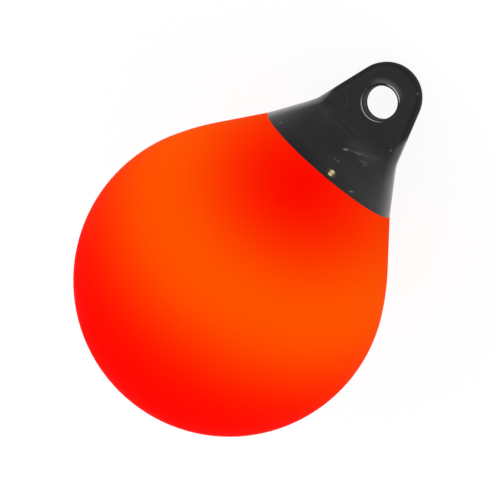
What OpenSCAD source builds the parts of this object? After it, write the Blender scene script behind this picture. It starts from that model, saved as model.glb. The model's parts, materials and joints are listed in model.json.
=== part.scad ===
// Inflatable ball float: a vinyl shell with a moulded rope eye and an inflation valve.
// It lies at rest on the ball and the tip of the eye. Millimetres, +Z up, +X towards the eye.

/* [Ball] */
// Outside diameter of the inflated ball
ball_d = 280; // [260:2:300]
// Vinyl wall of the shell
wall = 3; // [2:0.5:4]
// Slope to the axis at which the ball turns into the shoulder
shoulder_start = 28.3; // [24:0.1:31]
// Radius of the shoulder between ball and neck
shoulder_r = 238; // [200:2:270]
// Slope of the straight neck to the axis
neck_angle = 38.1; // [36:0.1:41]
// Outside radius where shell and rope eye meet
seam_r = 71.5; // [68:0.5:75]

/* [Rope eye] */
// Reach of the eye from the seam to its tip
tip_reach = 112; // [107:1:118]
// Radius of the round tip seen from the front
tip_r = 32; // [31:0.1:35]
// Slope of the bell's sides to the axis
bell_angle = 33; // [31:0.5:36]
// Slope of the tab's sides to the axis
tab_angle = 17.5; // [15:0.5:19]
// Hollow radius between the bell's side and the tab's side
bend_r = 40; // [20:1:60]
// Thickness of the flat tab
tab_t = 24; // [20:1:28]
// Rounding of the tab's outer edges
edge_r = 9; // [5:0.5:9]
// Slope to which the bell's front and back fall
fall_angle = 56; // [54:1:72]
// Rounding at the top of that fall
fall_r = 45; // [35:1:55]
// Hollow radius where the fall runs into the tab
root_r = 14; // [12:1:20]

/* [Rope hole] */
// Reach from the tip of the eye back to the hole's axis
hole_reach = 37.5; // [35:0.1:39]
// Diameter of the rope hole
hole_d = 30; // [25:0.5:31]
// Rounding of the hole's rims
rim_r = 5; // [3:0.5:6]

/* [Neck joint] */
// Depth of the eye's plug inside the neck
plug_depth = 14; // [8:1:20]
// Gap round pieces that fit into each other
fit_gap = 0.2; // [0.1:0.05:0.4]

/* [Valve] */
// Distance of the valve from the seam along the axis
valve_up = 5; // [5:0.5:9]
// Turn of the valve round the axis from the middle of the front
valve_turn = 11.5; // [0:0.5:20]
// Radius of the bush's flange
flange_r = 5.8; // [5:0.2:6.2]
// Thickness of the flange
flange_t = 2; // [1.6:0.1:2.4]
// Depth of the flat seat under the flange
seat_depth = 1.4; // [1:0.1:1.6]
// Radius of the bush's stem
stem_r = 4.6; // [4.2:0.1:4.8]
// Length of the bush's stem
stem_len = 10; // [8:0.5:12]
// Radius of the screw's head
screw_r = 3.6; // [3.2:0.1:3.8]
// Height of the screw's head
screw_t = 1.6; // [1.2:0.1:2]
// Width of the screwdriver slot
slot_w = 1; // [0.8:0.1:1.4]
// Depth of the screwdriver slot
slot_depth = 0.7; // [0.5:0.1:1]

/* [Hidden] */
$fn = 96;
ball_r = ball_d / 2;
hole_r = hole_d / 2;

// Shoulder: starts on the ball, ends on the neck, one centre for outside and inside
// Each outline is set in by a little, the lap, so that it crosses the one before
shoulder_s = (ball_r - shoulder_r) * sin(shoulder_start);
shoulder_y = (ball_r - shoulder_r) * cos(shoulder_start);
neck_s = shoulder_s + shoulder_r * sin(neck_angle);
neck_y = shoulder_y + shoulder_r * cos(neck_angle);
lap = 0.02;
neck_lap = 2 * lap / cos(neck_angle);
seam_s = neck_s + (neck_y - neck_lap - seam_r) / tan(neck_angle);
mouth_r = seam_r - wall / cos(neck_angle);
tip_at = seam_s + tip_reach;
hole_at = tip_at - hole_reach;

// Side outline of the eye: rounding, fall, hollow root, flat tab, rounded tip
half_t = tab_t / 2;
fall_cs = seam_s - fall_r * sin(neck_angle);
fall_cy = seam_r - fall_r * cos(neck_angle);
fall_from = fall_cs + fall_r * sin(fall_angle);
fall_y = fall_cy + fall_r * cos(fall_angle);
root_y = half_t + root_r * (1 - cos(fall_angle));
root_from = fall_from + (fall_y - root_y) / tan(fall_angle);
root_to = root_from + root_r * sin(fall_angle);

// Front outline of the eye: bell line, bend, tab line, tip
tip_s = tip_at - tip_r;
bend_s = (seam_r + seam_s * tan(bell_angle) - tip_r / cos(tab_angle) - tip_s * tan(tab_angle))
    / (tan(bell_angle) - tan(tab_angle));
bend_y = seam_r - (bend_s - seam_s) * tan(bell_angle);
bend_len = bend_r * tan((bell_angle - tab_angle) / 2);
bend_from = bend_s - bend_len * cos(bell_angle);
bend_to = bend_s + bend_len * cos(tab_angle);
bend_cs = bend_from + bend_r * sin(bell_angle);
bend_cy = bend_y + bend_len * sin(bell_angle) + bend_r * cos(bell_angle);
tip_from = tip_s + tip_r * sin(tab_angle);

// Stations along the eye, close together where its outline turns, and points round each section
RING = 72;
stations = concat(
    [for (i = [0:7]) fall_cs + fall_r * sin(neck_angle + (fall_angle - neck_angle) * i / 8)],
    [for (i = [0:3]) fall_from + (root_from - fall_from) * i / 4],
    [for (i = [0:9]) root_to - root_r * sin(fall_angle * (1 - i / 10))],
    [for (i = [0:9]) root_to + (tip_from - root_to) * i / 10],
    [for (i = [0:14]) tip_s + tip_r * sin(tab_angle + (88 - tab_angle) * i / 14)]
);

// Half width of the eye at a place along the axis
function eye_w(s) =
    s < bend_from ? seam_r - (s - seam_s) * tan(bell_angle)
    : s < bend_to ? bend_cy - sqrt(bend_r * bend_r - pow(s - bend_cs, 2))
    : s < tip_from ? tip_r / cos(tab_angle) - (s - tip_s) * tan(tab_angle)
    : sqrt(tip_r * tip_r - pow(s - tip_s, 2));

// Half thickness of the eye at a place along the axis
function eye_h(s) =
    s < fall_from ? fall_cy + sqrt(fall_r * fall_r - pow(s - fall_cs, 2))
    : s < root_from ? fall_y - (s - fall_from) * tan(fall_angle)
    : s < root_to ? half_t + root_r - sqrt(root_r * root_r - pow(root_to - s, 2))
    : s < tip_at - edge_r ? half_t
    : half_t - edge_r + sqrt(edge_r * edge_r - pow(s - tip_at + edge_r, 2));

// Corner rounding of a section: a full circle at the seam, the edge rounding on the tab
function eye_c(h, w) =
    min(h - (half_t - edge_r) * (seam_r - h) / (seam_r - half_t), w, h);

// Distance from the axis to a rounded rectangle's edge, in the direction a
function reach(w, h, c, a) =
    let (x = abs(cos(a)), y = abs(sin(a)), p = w - c, q = h - c, d = p * x + q * y)
    y * w <= x * q ? w / x
    : x * h <= y * p ? h / y
    : d + sqrt(max(0, d * d - p * p - q * q + c * c));

// One ring of points of the eye
function ring(s) =
    let (w = eye_w(s), h = eye_h(s), c = eye_c(h, w))
    [for (j = [0:RING - 1])
        let (a = atan2(h * sin(360 * j / RING), w * cos(360 * j / RING)), d = reach(w, h, c, a))
        [d * cos(a), d * sin(a), s]];

// Valve axis: square to the bell's front face, a little to one side of its middle
valve_s = seam_s + valve_up;
valve_h = eye_h(valve_s);
valve_w = eye_w(valve_s);
valve_y = reach(valve_w, valve_h, eye_c(valve_h, valve_w), 90 + valve_turn);
valve_tilt = asin((valve_s - fall_cs) / fall_r);

// Resting pose: the ball and the rounded tip touch the floor together
rest_s = tip_at - edge_r;
rest_y = half_t - edge_r;
dip = asin((ball_r - edge_r) / norm([rest_s, rest_y])) - atan2(rest_y, rest_s);
far_x = rest_s * cos(dip) + rest_y * sin(dip) + edge_r;
ball_x = (ball_r - far_x) / 2;

// From the object's own axis, ball centre at zero, to the resting pose
module at_rest() {
    translate([ball_x, 0, ball_r])
        rotate([0, 90 + dip, 0])
            rotate([0, 0, 90])
                children();
}

// From the valve's own axis to its seat on the bell
module at_valve() {
    rotate([0, 0, valve_turn])
        translate([0, valve_y, valve_s])
            rotate([valve_tilt - 90, 0, 0])
                translate([0, 0, -seat_depth])
                    children();
}

// Half profile of ball, shoulder and neck, set in by d, up to the height top
module body_profile(d, top) {
    from = (ball_r - d) * sin(shoulder_start) - 1;
    to = shoulder_s + (shoulder_r - d) * sin(neck_angle) - 1;
    neck_r = shoulder_y + (shoulder_r - d) * cos(neck_angle) + tan(neck_angle) - neck_lap;
    intersection() {
        circle(r = ball_r - d);
        translate([0, -ball_r])
            square([ball_r, ball_r + from + 10]);
    }
    intersection() {
        translate([shoulder_y, shoulder_s])
            circle(r = shoulder_r - d - lap);
        translate([0, from])
            square([ball_r, min(to + 9, top) - from]);
    }
    polygon([[0, to], [neck_r, to], [neck_r - (top - to) * tan(neck_angle), top], [0, top]]);
}

// Orange shell: ball, shoulder and open neck in one blown wall
module float_shell() {
    color("orangered")
        at_rest()
            rotate_extrude()
                difference() {
                    body_profile(0, seam_s);
                    body_profile(wall, seam_s + wall);
                }
}

// Solid outside of the eye, drawn from ring to ring
module eye_body() {
    last = len(stations) - 1;
    points = concat([for (s = stations) each ring(s)], [[0, 0, tip_at]]);
    sides = [for (i = [0:last - 1], j = [0:RING - 1])
        let (k = (j + 1) % RING, a = i * RING + j, b = i * RING + k)
        each [[a, a + RING, b], [b, a + RING, b + RING]]];
    base = [for (j = [0:RING - 1]) j];
    tip = [for (j = [0:RING - 1]) [last * RING + j, len(points) - 1, last * RING + (j + 1) % RING]];
    polyhedron(points = points, faces = concat(sides, [base], tip), convexity = 6);
}

// Rope hole with rounded rims
module eye_hole() {
    straight = tab_t - 2 * rim_r + 0.6;
    rotate([90, 0, 0])
        rotate_extrude() {
            translate([0, -straight / 2])
                square([hole_r, straight]);
            for (side = [0, 1])
                mirror([0, side])
                    difference() {
                        translate([0, straight / 2])
                            square([hole_r + rim_r, seam_r]);
                        translate([hole_r + rim_r, straight / 2])
                            circle(r = rim_r);
                    }
        }
}

// Black eye: bell, flat tab and the plug that closes the neck
module rope_eye() {
    color("dimgray")
        at_rest()
            difference() {
                union() {
                    eye_body();
                    translate([0, 0, seam_s - plug_depth])
                        cylinder(r = mouth_r - fit_gap, h = plug_depth + 4);
                }
                translate([0, 0, hole_at])
                    eye_hole();
                at_valve() {
                    cylinder(r = flange_r + fit_gap, h = seat_depth + 6);
                    translate([0, 0, -stem_len - fit_gap])
                        cylinder(r = stem_r + fit_gap, h = stem_len + fit_gap + 1);
                }
            }
}

// Black bush of the inflation valve, its flange on the flat seat
module valve_insert() {
    color("black")
        at_rest()
            at_valve()
                difference() {
                    union() {
                        cylinder(r = flange_r, h = flange_t);
                        translate([0, 0, -stem_len])
                            cylinder(r = stem_r, h = stem_len + flange_t / 2);
                    }
                    translate([0, 0, flange_t - screw_t + slot_depth])
                        cylinder(r = screw_r + fit_gap, h = screw_t);
                }
}

// Brass plug with a screwdriver slot
module valve_screw() {
    color("goldenrod")
        at_rest()
            at_valve()
                translate([0, 0, flange_t - screw_t + slot_depth])
                    difference() {
                        cylinder(r = screw_r, h = screw_t);
                        translate([-screw_r - 1, -slot_w / 2, screw_t - slot_depth])
                            cube([2 * screw_r + 2, slot_w, slot_depth + 1]);
                    }
}

float_shell();
rope_eye();
valve_insert();
valve_screw();
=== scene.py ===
import json
import math
import bpy
from mathutils import Matrix, Vector


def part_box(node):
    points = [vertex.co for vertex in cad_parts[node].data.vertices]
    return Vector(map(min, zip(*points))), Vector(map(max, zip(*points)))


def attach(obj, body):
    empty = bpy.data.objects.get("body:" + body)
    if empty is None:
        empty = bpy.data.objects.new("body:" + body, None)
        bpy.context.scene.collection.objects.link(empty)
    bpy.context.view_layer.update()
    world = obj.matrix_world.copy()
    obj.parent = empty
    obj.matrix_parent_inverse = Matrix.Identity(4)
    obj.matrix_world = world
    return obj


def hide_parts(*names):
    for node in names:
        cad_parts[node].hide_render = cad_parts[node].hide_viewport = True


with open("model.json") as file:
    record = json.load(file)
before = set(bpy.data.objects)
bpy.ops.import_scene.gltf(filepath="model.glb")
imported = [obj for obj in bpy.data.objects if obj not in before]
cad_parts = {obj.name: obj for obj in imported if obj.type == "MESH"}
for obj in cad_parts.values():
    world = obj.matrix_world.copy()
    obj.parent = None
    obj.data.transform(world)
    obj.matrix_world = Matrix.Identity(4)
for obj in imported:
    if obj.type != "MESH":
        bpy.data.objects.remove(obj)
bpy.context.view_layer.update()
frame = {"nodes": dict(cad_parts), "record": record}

# View
# The float lies on its ball and on the tip of its eye. The camera stands high in front of the eye's flat
# face, with a long lens, and is rolled so that the eye points to the upper right.
rope_hole = frame["record"]["mounts"][0]
hole_middle = Vector(rope_hole["pos_m"])
face_way = Vector(rope_hole["axis"])
eye_way = Vector((face_way.z, 0.0, -face_way.x))
side_way = Vector((0.0, -1.0, 0.0))
dip = math.atan2(face_way.x, face_way.z)
ball_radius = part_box("float_shell")[1].y
hole_along = (ball_radius - hole_middle.z) / face_way.x
ball_centre = hole_middle - hole_along * eye_way
lean = math.radians(9.0)
turn = math.radians(6.0)
roll = math.radians(49.38)
to_camera = (math.sin(lean) * eye_way
             + math.cos(lean) * (math.cos(turn) * face_way + math.sin(turn) * side_way))
along = (eye_way - eye_way.dot(to_camera) * to_camera).normalized()
across = along.cross(to_camera)
camera_right = math.cos(roll) * along + math.sin(roll) * across
camera_up = math.sin(roll) * along - math.cos(roll) * across
camera_distance = 8.0
picture_width = 0.448
ball_left = 0.01842
ball_below = 0.0274
picture_middle = ball_centre + ball_left * camera_right + ball_below * camera_up
camera_data = bpy.data.cameras.new("camera")
camera_data.lens = camera_data.sensor_width * camera_distance / picture_width
camera_data.clip_end = 100.0
camera = bpy.data.objects.new("camera", camera_data)
camera_place = Matrix((camera_right, camera_up, to_camera)).transposed().to_4x4()
camera_place.translation = picture_middle + camera_distance * to_camera
camera.matrix_world = camera_place
bpy.context.scene.collection.objects.link(camera)
bpy.context.scene.camera = camera

# Studio floor and light
# A plain white floor that keeps a soft shadow, an even white surround and three large soft lamps.
# The floor shows white to the camera and in glossy surfaces.
bpy.context.scene.view_settings.view_transform = "Standard"


def node(tree, kind, sockets=None, **settings):
    """Adds one shader node with its settings, its values and its links."""
    made = tree.nodes.new("ShaderNode" + kind)
    for name, value in settings.items():
        setattr(made, name, value)
    for key, value in (sockets or {}).items():
        if isinstance(value, bpy.types.NodeSocket):
            tree.links.new(value, made.inputs[key])
        else:
            made.inputs[key].default_value = value
    return made


floor_radius = 12.0
floor_white = 0.9
bpy.ops.object.select_all(action="DESELECT")
bpy.ops.mesh.primitive_circle_add(vertices=96, radius=floor_radius, fill_type="NGON")
floor = bpy.context.object
floor.name = "floor"
floor_paint = bpy.data.materials.new("white_floor")
floor_paint.use_nodes = True
tree = floor_paint.node_tree
tree.nodes.clear()
path = node(tree, "LightPath")
mirrored = node(tree, "Math", {0: path.outputs["Is Glossy Ray"], 1: path.outputs["Is Transmission Ray"]},
                operation="MAXIMUM")
seen = node(tree, "Math", {0: path.outputs["Is Camera Ray"], 1: mirrored.outputs[0]}, operation="MAXIMUM")
share = node(tree, "Math", {0: seen.outputs[0], 1: floor_white}, operation="MULTIPLY")
matt = node(tree, "BsdfDiffuse", {"Color": (0.9, 0.9, 0.9, 1.0)})
glow = node(tree, "Emission", {"Strength": 1.02})
mixer = node(tree, "MixShader", {0: share.outputs[0], 1: matt.outputs[0], 2: glow.outputs[0]})
node(tree, "OutputMaterial", {"Surface": mixer.outputs[0]})
floor.data.materials.append(floor_paint)

surround = bpy.data.worlds.new("white_surround")
surround.use_nodes = True
bpy.context.scene.world = surround
tree = surround.node_tree
tree.nodes.clear()
path = node(tree, "LightPath")
level = node(tree, "MapRange", {"Value": path.outputs["Is Camera Ray"], "To Min": 1.08, "To Max": 1.0})
sky = node(tree, "Background", {"Strength": level.outputs[0]})
node(tree, "OutputWorld", {"Surface": sky.outputs[0]})

lamp_aim = Vector((0.05, 0.0, 0.1))
for name, spot, size, watts in [
    ("high_softbox", (-1.7, 0.2, 1.5), 0.9, 5.5),
    ("right_softbox", (0.7, -1.9, 1.2), 0.9, 7.0),
    ("left_softbox", (0.7, 1.9, 1.2), 0.9, 7.0),
]:
    lamp_data = bpy.data.lights.new(name, "AREA")
    lamp_data.shape = "SQUARE"
    lamp_data.size = size
    lamp_data.energy = watts
    lamp = bpy.data.objects.new(name, lamp_data)
    lamp.location = spot
    lamp.rotation_euler = (lamp_aim - Vector(spot)).to_track_quat("-Z", "Y").to_euler()
    bpy.context.scene.collection.objects.link(lamp)

# Float shell
# The inflated ball with its drawn-out neck, one blown wall of soft orange-red vinyl.
# Its colour is orange-red vinyl with painted shade and light: red at the thick neck and the far end, where
# less light falls, and a lit orange between them.
shell = frame["nodes"]["float_shell"]
vinyl = bpy.data.materials.new("orange_vinyl_satin")
vinyl.use_nodes = True
tree = vinyl.node_tree
skin = tree.nodes["Principled BSDF"]
coords = node(tree, "TexCoord")
own_axes = node(tree, "Mapping", {"Vector": coords.outputs["Object"], "Location": ball_centre,
                                  "Rotation": (0.0, dip, 0.0)}, vector_type="TEXTURE")
parts = node(tree, "SeparateXYZ", {0: own_axes.outputs[0]})
depth = node(tree, "Math", {0: parts.outputs["Z"]}, operation="ABSOLUTE")
folded = node(tree, "CombineXYZ", {"X": parts.outputs["X"], "Y": parts.outputs["Y"], "Z": depth.outputs[0]})

# The distance from a spot at the neck, counted shorter across the float and shorter still towards its faces.
neck_spot = (0.122, 0.0, 0.024)
neck_stretch = (1.0, 0.87, 0.33)
stretched = node(tree, "VectorMath", {0: folded.outputs[0], 1: neck_stretch}, operation="MULTIPLY")
from_neck = node(tree, "VectorMath", {0: stretched.outputs[0], 1: neck_spot}, operation="DISTANCE")
mottle = node(tree, "TexNoise", {"Vector": coords.outputs["Object"], "Scale": 9.0, "Detail": 3.0})
drift = node(tree, "MapRange", {"Value": mottle.outputs["Fac"], "To Min": -0.0087, "To Max": 0.0013})
blurred = node(tree, "Math", {0: from_neck.outputs["Value"], 1: drift.outputs[0]}, operation="ADD")

# The painted light: a lit orange belt lies at this distance from the neck and fades to painted red shade on
# both sides as a bell curve does.
belt_middle = 0.1085
belt_spread = 0.0392
belt_green = 0.0845
least_green = 0.001
off_belt = node(tree, "Math", {0: blurred.outputs[0], 1: belt_middle}, operation="SUBTRACT")
spreads_off = node(tree, "Math", {0: off_belt.outputs[0], 1: belt_spread}, operation="DIVIDE")
squared = node(tree, "Math", {0: spreads_off.outputs[0], 1: spreads_off.outputs[0]}, operation="MULTIPLY")
halved = node(tree, "Math", {0: squared.outputs[0], 1: -0.5}, operation="MULTIPLY")
belt = node(tree, "Math", {0: halved.outputs[0]}, operation="EXPONENT")
green = node(tree, "Math", {0: belt.outputs[0], 1: belt_green, 2: least_green}, operation="MULTIPLY_ADD")
pigment_and_painted_shade = node(tree, "CombineColor", {"Red": 0.98, "Green": green.outputs[0], "Blue": 0.0})
tree.links.new(pigment_and_painted_shade.outputs["Color"], skin.inputs["Base Color"])

# A satin skin with a fine orange peel, and a low line where the two halves of the mould met.
sheen_patches = node(tree, "TexNoise", {"Vector": coords.outputs["Object"], "Scale": 22.0, "Detail": 6.0,
                                        "Roughness": 0.6})
satin = node(tree, "MapRange", {"Value": sheen_patches.outputs["Fac"], "From Min": 0.3, "From Max": 0.7,
                                "To Min": 0.54, "To Max": 0.68})
tree.links.new(satin.outputs[0], skin.inputs["Roughness"])
orange_peel = node(tree, "TexNoise", {"Vector": coords.outputs["Object"], "Scale": 320.0, "Detail": 2.0})
mould_line = node(tree, "MapRange", {"Value": depth.outputs[0], "From Min": 0.0002, "From Max": 0.0007,
                                     "To Min": 0.8, "To Max": 0.0}, interpolation_type="SMOOTHSTEP")
relief = node(tree, "Math", {0: orange_peel.outputs["Fac"], 1: mould_line.outputs[0]}, operation="ADD")
peel_bump = node(tree, "Bump", {"Strength": 0.12, "Distance": 0.0006, "Height": relief.outputs[0]})
tree.links.new(peel_bump.outputs["Normal"], skin.inputs["Normal"])
skin.inputs["Specular IOR Level"].default_value = 0.003
skin.inputs["Specular Tint"].default_value = (1.0, 0.35, 0.1, 1.0)
shell.data.materials.clear()
shell.data.materials.append(vinyl)

# Rope eye
# One black vinyl moulding: a bell that closes the neck and flattens into a tab with a rope hole.
# It is welded to the shell at the neck. The copy of its solid is merged and shaded smooth.
merge_gap = 0.00001
sharp_angle = math.radians(32.0)
bpy.ops.object.select_all(action="DESELECT")
solid_eye = frame["nodes"]["rope_eye"]
solid_eye.select_set(True)
bpy.context.view_layer.objects.active = solid_eye
bpy.ops.object.duplicate()
eye = bpy.context.object
eye.name = "rope_eye_moulding"
for key in list(eye.keys()):
    del eye[key]
bpy.ops.mesh.customdata_custom_splitnormals_clear()
bpy.ops.object.mode_set(mode="EDIT")
bpy.ops.mesh.select_all(action="SELECT")
bpy.ops.mesh.remove_doubles(threshold=merge_gap)
bpy.ops.object.mode_set(mode="OBJECT")
bpy.ops.object.shade_smooth_by_angle(angle=sharp_angle)
bpy.ops.object.modifier_add(type="WEIGHTED_NORMAL")
eye.modifiers[-1].keep_sharp = True
bpy.ops.object.modifier_apply(modifier=eye.modifiers[-1].name)
eye.parent = None
eye.matrix_world = Matrix.Identity(4)
black = bpy.data.materials.new("black_vinyl_gloss")
black.use_nodes = True
tree = black.node_tree
skin = tree.nodes["Principled BSDF"]
coords = node(tree, "TexCoord")
own_axes = node(tree, "Mapping", {"Vector": coords.outputs["Object"], "Location": ball_centre,
                                  "Rotation": (0.0, dip, 0.0)}, vector_type="TEXTURE")
own_parts = node(tree, "SeparateXYZ", {0: own_axes.outputs[0]})
clouds = node(tree, "TexNoise", {"Vector": coords.outputs["Object"], "Scale": 60.0, "Detail": 5.0})


def oval_patch(tree, axes, middle, half_size, slant, strength):
    """Masks an oval patch on the given axes, full in its middle and gone at its edge."""
    oval = node(tree, "Mapping", {"Vector": axes, "Location": middle, "Scale": half_size,
                                  "Rotation": (0.0, 0.0, math.radians(slant))}, vector_type="TEXTURE")
    spread = node(tree, "VectorMath", {0: oval.outputs[0]}, operation="LENGTH")
    mask = node(tree, "MapRange", {"Value": spread.outputs["Value"], "From Min": 0.3, "From Max": 1.1,
                                   "To Min": strength, "To Max": 0.0}, interpolation_type="SMOOTHSTEP")
    return mask.outputs[0]


# The bell carries painted shade, darker on its +Y side, and painted light lifts the dip where the tab rises
# from it, with a painted reflection beside it and a painted light line along the bottom of that dip. These
# patches reach through the eye, so both faces have them.
tab_root = 0.1725
through = 0.2
bell_painted_side_shade = node(tree, "MapRange", {"Value": own_parts.outputs["Y"], "From Min": 0.01, "From Max": -0.05,
                                    "To Min": 0.003, "To Max": 0.0205})
tone = node(tree, "MapRange", {"Value": own_parts.outputs["X"], "From Min": 0.16, "From Max": 0.178,
                               "To Min": bell_painted_side_shade.outputs[0], "To Max": 0.0145})
cloudy = node(tree, "MapRange", {"Value": clouds.outputs["Fac"], "From Min": 0.3, "From Max": 0.7,
                                 "To Min": 0.88, "To Max": 1.12})
cloudy_tone = node(tree, "Math", {0: tone.outputs[0], 1: cloudy.outputs[0]}, operation="MULTIPLY")
# Painted light: a paler patch where the tab rises from the bell, lifting the shade of that crease.
hollow_painted_light = oval_patch(tree, own_axes.outputs[0], (tab_root, 0.0, 0.0), (0.0075, 0.028, through), 0.0, 0.45)
hollow_light_tone = node(tree, "MixRGB", {"Fac": hollow_painted_light, "Color1": cloudy_tone.outputs[0],
                                    "Color2": (0.029, 0.029, 0.028, 1.0)})
# Painted reflection: a paler olive patch beside the crease on the -Y side.
reflection_middle = (tab_root - 0.001, -0.017, 0.0)
painted_reflection_patch = oval_patch(tree, own_axes.outputs[0], reflection_middle, (0.0075, 0.02, through), 0.0, 0.7)
reflection_tone = node(tree, "MixRGB", {"Fac": painted_reflection_patch, "Color1": hollow_light_tone.outputs[0],
                                   "Color2": (0.041, 0.041, 0.037, 1.0)})
# Painted light: a thin paler line along the crease at the tab's root, evening out its shade.
crease_light_middle = (tab_root + 0.0021, 0.0, 0.0)
crease_painted_light = oval_patch(tree, own_axes.outputs[0], crease_light_middle, (0.003, 0.05, through), 0.0, 0.32)
crease_light_tone = node(tree, "MixRGB", {"Fac": crease_painted_light, "Color1": reflection_tone.outputs[0],
                                   "Color2": (0.045, 0.045, 0.043, 1.0)})

# A painted reflection greys the flanks, from the bell up to the tab, paler on the +Y side. Two straight
# lines, the bell's and the tab's, give the eye's half width. The grey fades inwards from it and ends in a
# point on the tab.
bell_slope = -0.649
bell_start = 0.1611
tab_slope = -0.315
tab_start = 0.1022
reach_slant = 0.1
sideways = node(tree, "Math", {0: own_parts.outputs["Y"]}, operation="ABSOLUTE")
bell_width = node(tree, "Math", {0: own_parts.outputs["X"], 1: bell_slope, 2: bell_start},
                  operation="MULTIPLY_ADD")
tab_width = node(tree, "Math", {0: own_parts.outputs["X"], 1: tab_slope, 2: tab_start},
                 operation="MULTIPLY_ADD")
half_width = node(tree, "Math", {0: bell_width.outputs[0], 1: tab_width.outputs[0]}, operation="MAXIMUM")
inset = node(tree, "Math", {0: half_width.outputs[0], 1: sideways.outputs[0]}, operation="SUBTRACT")
slanted_reach = node(tree, "Math", {0: own_parts.outputs["Y"], 1: reach_slant, 2: own_parts.outputs["X"]},
                 operation="MULTIPLY_ADD")
flank_start = node(tree, "MapRange", {"Value": own_parts.outputs["X"], "From Min": 0.138, "From Max": 0.165,
                                      "To Min": 0.3, "To Max": 0.8})
flank_end = node(tree, "MapRange", {"Value": slanted_reach.outputs[0], "From Min": 0.191, "From Max": 0.201,
                                    "To Min": flank_start.outputs[0], "To Max": 0.0})
flank_depth = node(tree, "MapRange", {"Value": slanted_reach.outputs[0], "From Min": 0.183, "From Max": 0.198,
                                      "To Min": 0.0068, "To Max": 0.0015})
flank_painted_sheen = node(tree, "MapRange", {"Value": inset.outputs[0], "From Min": 0.001,
                                    "From Max": flank_depth.outputs[0],
                                    "To Min": flank_end.outputs[0], "To Max": 0.0})
flank_sheen_share = node(tree, "Math", {0: flank_painted_sheen.outputs[0], 1: cloudy.outputs[0]}, operation="MULTIPLY")
flank_sheen_grey = node(tree, "MapRange", {"Value": own_parts.outputs["Y"], "From Min": -0.03, "From Max": 0.03,
                                     "To Min": 0.085, "To Max": 0.215})
flank_sheen_tone = node(tree, "MixRGB", {"Fac": flank_sheen_share.outputs[0], "Color1": crease_light_tone.outputs[0],
                                   "Color2": flank_sheen_grey.outputs[0]})

# Painted highlights pale the rims of the hole, on the tip side partly as rope wear, a painted reflection
# lightens the rim on the tip side, and the bore is greyer and matt.
bore_radius = 0.001 * rope_hole["dims"]["r_mm"]
rim_radius = bore_radius + 0.0023
pull_line = (0.97, -0.242, 0.0)
tip_reflection_line = (0.97, 0.242, 0.0)
from_hole = node(tree, "VectorMath", {0: own_axes.outputs[0], 1: (hole_along, 0.0, 0.0)},
                 operation="SUBTRACT")
in_face = node(tree, "VectorMath", {0: from_hole.outputs[0], 1: (1.0, 1.0, 0.0)}, operation="MULTIPLY")
ring = node(tree, "VectorMath", {0: in_face.outputs[0]}, operation="LENGTH")
pull_way = node(tree, "VectorMath", {0: in_face.outputs[0]}, operation="NORMALIZE")
pull = node(tree, "VectorMath", {0: pull_way.outputs[0], 1: pull_line}, operation="DOT_PRODUCT")
tip_pull = node(tree, "MapRange", {"Value": pull.outputs["Value"], "From Min": 0.78, "From Max": 0.95})
ball_side_highlight = node(tree, "MapRange", {"Value": pull.outputs["Value"], "From Min": -0.42, "From Max": -0.9,
                                    "To Min": 0.0, "To Max": 0.5})
wear_and_highlight_side = node(tree, "Math", {0: tip_pull.outputs[0], 1: ball_side_highlight.outputs[0]}, operation="MAXIMUM")
off_rim = node(tree, "Math", {0: ring.outputs["Value"], 1: rim_radius}, operation="SUBTRACT")
rim_gap = node(tree, "Math", {0: off_rim.outputs[0]}, operation="ABSOLUTE")
rim_line = node(tree, "MapRange", {"Value": rim_gap.outputs[0], "From Min": 0.0001, "From Max": 0.0007,
                                   "To Min": 0.9, "To Max": 0.0}, interpolation_type="SMOOTHSTEP")
# Painted highlight: a pale line along the rim, on the ball side and, partly as rope wear, on the tip side.
rim_wear_and_highlight = node(tree, "Math", {0: rim_line.outputs[0], 1: wear_and_highlight_side.outputs[0]}, operation="MULTIPLY")
# Painted reflection: a pale bluish band on the rounded rim at the tip side of the hole.
tip_reflection_way = node(tree, "VectorMath", {0: pull_way.outputs[0], 1: tip_reflection_line}, operation="DOT_PRODUCT")
tip_reflection_side = node(tree, "MapRange", {"Value": tip_reflection_way.outputs["Value"], "From Min": 0.5, "From Max": 0.97,
                                   "To Min": 0.0, "To Max": 0.7})
tip_reflection_rise = node(tree, "MapRange", {"Value": ring.outputs["Value"], "From Min": bore_radius + 0.0018,
                                    "From Max": bore_radius + 0.0026,
                                    "To Min": 0.0, "To Max": tip_reflection_side.outputs[0]})
tip_reflection = node(tree, "MapRange", {"Value": ring.outputs["Value"], "From Min": bore_radius + 0.0043,
                               "From Max": bore_radius + 0.0078,
                               "To Min": tip_reflection_rise.outputs[0], "To Max": 0.0})
tip_reflection_tone = node(tree, "MixRGB", {"Fac": tip_reflection.outputs[0], "Color1": flank_sheen_tone.outputs[0],
                                   "Color2": (0.10, 0.10, 0.11, 1.0)})
bore_dull = node(tree, "MapRange", {"Value": ring.outputs["Value"], "From Min": bore_radius + 0.00005,
                                    "From Max": bore_radius + 0.001, "To Min": 1.0, "To Max": 0.0})
bore_grey = node(tree, "Math", {0: bore_dull.outputs[0], 1: 0.8}, operation="MULTIPLY")
bore_tone = node(tree, "MixRGB", {"Fac": bore_grey.outputs[0], "Color1": tip_reflection_tone.outputs[0],
                                  "Color2": (0.11, 0.11, 0.11, 1.0)})
rim_wear_and_highlight_tone = node(tree, "MixRGB", {"Fac": rim_wear_and_highlight.outputs[0], "Color1": bore_tone.outputs[0],
                                 "Color2": (0.78, 0.78, 0.77, 1.0)})

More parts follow.
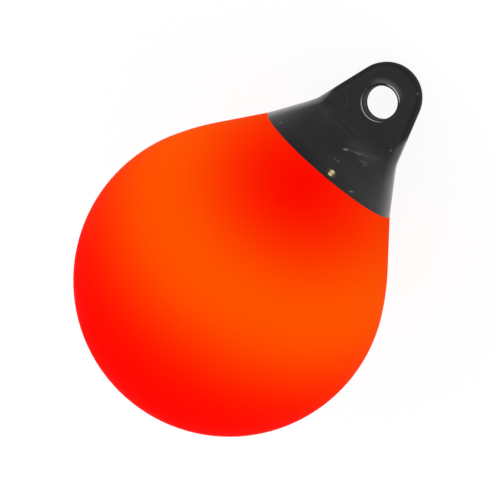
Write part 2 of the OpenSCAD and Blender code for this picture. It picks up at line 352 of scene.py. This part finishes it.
# The rounded edge of the tab is rubbed matt all round. Towards the bell this starts at the faces first.
tab_half = 0.012
depth = node(tree, "Math", {0: own_parts.outputs["Z"]}, operation="ABSOLUTE")
matt_reach = node(tree, "Math", {0: depth.outputs[0], 1: slanted_reach.outputs[0]}, operation="ADD")
on_tab = node(tree, "MapRange", {"Value": matt_reach.outputs[0], "From Min": 0.1975, "From Max": 0.2075})
off_hole = node(tree, "MapRange", {"Value": ring.outputs["Value"], "From Min": bore_radius + 0.005,
                                   "From Max": bore_radius + 0.0065,
                                   "To Min": 0.0, "To Max": on_tab.outputs[0]})
edge_dull = node(tree, "MapRange", {"Value": depth.outputs[0], "From Min": tab_half - 0.0015,
                                    "From Max": tab_half - 0.0001,
                                    "To Min": off_hole.outputs[0], "To Max": 0.0})

# A thin pale line, plainest in the bore, shows where the two halves of the mould met.
parting_share = node(tree, "MapRange", {"Value": bore_dull.outputs[0], "To Min": 0.06, "To Max": 0.3})
parting = node(tree, "MapRange", {"Value": depth.outputs[0], "From Min": 0.0002, "From Max": 0.0006,
                                  "To Min": parting_share.outputs[0], "To Max": 0.0})

# A few pale marks lie on the front. Each is an uneven streak with its middle, half length,
# half width, slant and strength.
mark_depth = 0.02
ragged_size = 0.0034
ragged = node(tree, "TexNoise", {"Vector": coords.outputs["Object"], "Scale": 900.0, "Detail": 4.0})
ragged_step = node(tree, "VectorMath", {0: ragged.outputs["Color"], 1: (0.5, 0.5, 0.5)},
                   operation="SUBTRACT")
ragged_shift = node(tree, "VectorMath", {0: ragged_step.outputs[0], "Scale": ragged_size}, operation="SCALE")
ragged_axes = node(tree, "VectorMath", {0: own_axes.outputs[0], 1: ragged_shift.outputs[0]}, operation="ADD")
marks = parting.outputs[0]
for middle, half_long, half_wide, slant, strength in [
    ((0.1640, -0.0065, 0.037), 0.0027, 0.0012, -60.0, 0.6),
    ((0.1685, -0.0175, 0.030), 0.0160, 0.0005, -69.0, 0.22),
    ((0.1680, -0.0170, 0.031), 0.0032, 0.0008, -69.0, 0.28),
    ((0.1655, -0.0255, 0.033), 0.0050, 0.0006, -72.0, 0.3),
    ((0.1645, -0.0285, 0.034), 0.0035, 0.0005, -72.0, 0.25),
    ((0.1535, -0.0080, 0.052), 0.0044, 0.0005, -90.0, 0.3),
    ((0.1420, -0.0370, 0.057), 0.0024, 0.0010, -60.0, 0.45),
    ((0.1865, -0.0350, 0.012), 0.0018, 0.0008, 20.0, 0.3),
    ((0.1440, 0.0530, 0.041), 0.0015, 0.0008, -40.0, 0.35),
    ((0.2400, -0.0200, 0.010), 0.0015, 0.0012, 30.0, 0.25),
    ((0.1965, 0.0260, 0.012), 0.0036, 0.0009, 60.0, 0.07),
    ((0.1905, 0.0215, 0.012), 0.0040, 0.0008, 15.0, 0.06),
]:
    half_size = (half_long, half_wide, mark_depth)
    streak = oval_patch(tree, ragged_axes.outputs[0], middle, half_size, slant, strength)
    marks = node(tree, "Math", {0: marks, 1: streak}, operation="MAXIMUM").outputs[0]
crumbs = node(tree, "TexNoise", {"Vector": coords.outputs["Object"], "Scale": 1300.0, "Detail": 2.0})
broken_up = node(tree, "MapRange", {"Value": crumbs.outputs["Fac"], "From Min": 0.4, "From Max": 0.56,
                                    "To Min": 0.2, "To Max": 1.0})
broken_marks = node(tree, "Math", {0: marks, 1: broken_up.outputs[0]}, operation="MULTIPLY")
colour = node(tree, "MixRGB", {"Fac": broken_marks.outputs[0], "Color1": rim_wear_and_highlight_tone.outputs[0],
                               "Color2": (0.42, 0.42, 0.40, 1.0)})
tree.links.new(colour.outputs[0], skin.inputs["Base Color"])

# The skin is glossy with a fine moulded grain, and matt in the bore and along the tab's rubbed edge.
gloss = node(tree, "MapRange", {"Value": clouds.outputs["Fac"], "From Min": 0.3, "From Max": 0.7,
                                "To Min": 0.2, "To Max": 0.3})
matt_places = node(tree, "Math", {0: bore_dull.outputs[0], 1: edge_dull.outputs[0]}, operation="MAXIMUM")
dulled = node(tree, "MapRange", {"Value": matt_places.outputs[0],
                                 "To Min": gloss.outputs[0], "To Max": 0.95})
tree.links.new(dulled.outputs[0], skin.inputs["Roughness"])
grain = node(tree, "TexNoise", {"Vector": coords.outputs["Object"], "Scale": 420.0, "Detail": 2.0})
grain_bump = node(tree, "Bump", {"Strength": 0.1, "Distance": 0.0005, "Height": grain.outputs["Fac"]})
tree.links.new(grain_bump.outputs["Normal"], skin.inputs["Normal"])
skin.inputs["Specular IOR Level"].default_value = 0.19
eye.data.materials.clear()
eye.data.materials.append(black)
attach(eye, "root")
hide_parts("rope_eye")

# Valve bush
# A small flanged bush of matt black nylon, pressed into the bell beside the seam.
# Its moulded skin is finely speckled.
bush = frame["nodes"]["valve_insert"]
nylon = bpy.data.materials.new("black_nylon_matt")
nylon.use_nodes = True
tree = nylon.node_tree
skin = tree.nodes["Principled BSDF"]
coords = node(tree, "TexCoord")
speckle = node(tree, "TexNoise", {"Vector": coords.outputs["Object"], "Scale": 900.0, "Detail": 3.0})
shade = node(tree, "ValToRGB", {"Fac": speckle.outputs["Fac"]})
shade.color_ramp.elements[0].position = 0.3
shade.color_ramp.elements[0].color = (0.014, 0.014, 0.014, 1.0)
shade.color_ramp.elements[1].position = 0.75
shade.color_ramp.elements[1].color = (0.034, 0.034, 0.033, 1.0)
tree.links.new(shade.outputs["Color"], skin.inputs["Base Color"])
dull = node(tree, "MapRange", {"Value": speckle.outputs["Fac"], "To Min": 0.4, "To Max": 0.7})
tree.links.new(dull.outputs[0], skin.inputs["Roughness"])
nylon_bump = node(tree, "Bump", {"Strength": 0.2, "Distance": 0.0002, "Height": speckle.outputs["Fac"]})
tree.links.new(nylon_bump.outputs["Normal"], skin.inputs["Normal"])
skin.inputs["Specular IOR Level"].default_value = 0.2
bush.data.materials.clear()
bush.data.materials.append(nylon)

# Valve screw
# The slotted brass plug that closes the bush, turned on a lathe and a little tarnished.
# It sits square to the bell's front, and a painted highlight lies as a light strip across its head.
valve_lean = math.radians(43.3)
valve_turn = math.radians(11.5)
screw_axis = (math.cos(valve_lean) * eye_way
              + math.sin(valve_lean) * (math.cos(valve_turn) * face_way + math.sin(valve_turn) * side_way))
screw_low, screw_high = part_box("valve_screw")
screw_middle = (screw_low + screw_high) / 2.0
screw = frame["nodes"]["valve_screw"]
brass = bpy.data.materials.new("turned_brass")
brass.use_nodes = True
tree = brass.node_tree
skin = tree.nodes["Principled BSDF"]
coords = node(tree, "TexCoord")
turned_axes = node(tree, "Mapping", {"Vector": coords.outputs["Object"], "Location": screw_middle,
                                     "Rotation": screw_axis.to_track_quat("Z", "Y").to_euler()},
                   vector_type="TEXTURE")
lathe_rings = node(tree, "TexWave", {"Vector": turned_axes.outputs[0], "Scale": 420.0, "Distortion": 0.6,
                                     "Detail": 1.0}, wave_type="RINGS", rings_direction="Z")
tarnish = node(tree, "TexNoise", {"Vector": coords.outputs["Object"], "Scale": 500.0, "Detail": 4.0})
turned_parts = node(tree, "SeparateXYZ", {0: turned_axes.outputs[0]})
off_middle = node(tree, "Math", {0: turned_parts.outputs["X"]}, operation="ABSOLUTE")
# Painted highlight: a light strip across the head, mixed into the real tarnish.
painted_highlight_strip = node(tree, "MapRange", {"Value": off_middle.outputs[0], "From Min": 0.0012, "From Max": 0.0024,
                                      "To Min": 0.3, "To Max": 0.0})
tarnish_and_highlight = node(tree, "Math", {0: tarnish.outputs["Fac"], 1: 0.6, 2: painted_highlight_strip.outputs[0]},
              operation="MULTIPLY_ADD")
patina = node(tree, "ValToRGB", {"Fac": tarnish_and_highlight.outputs[0]})
patina.color_ramp.elements[0].position = 0.35
patina.color_ramp.elements[0].color = (0.17, 0.13, 0.05, 1.0)
patina.color_ramp.elements[1].position = 0.6
patina.color_ramp.elements[1].color = (0.66, 0.55, 0.30, 1.0)
tree.links.new(patina.outputs["Color"], skin.inputs["Base Color"])
buffed = node(tree, "MapRange", {"Value": tarnish.outputs["Fac"], "To Min": 0.42, "To Max": 0.2})
tree.links.new(buffed.outputs[0], skin.inputs["Roughness"])
ring_bump = node(tree, "Bump", {"Strength": 0.25, "Distance": 0.0001, "Height": lathe_rings.outputs["Fac"]})
tree.links.new(ring_bump.outputs["Normal"], skin.inputs["Normal"])
skin.inputs["Metallic"].default_value = 1.0
screw.data.materials.clear()
screw.data.materials.append(brass)
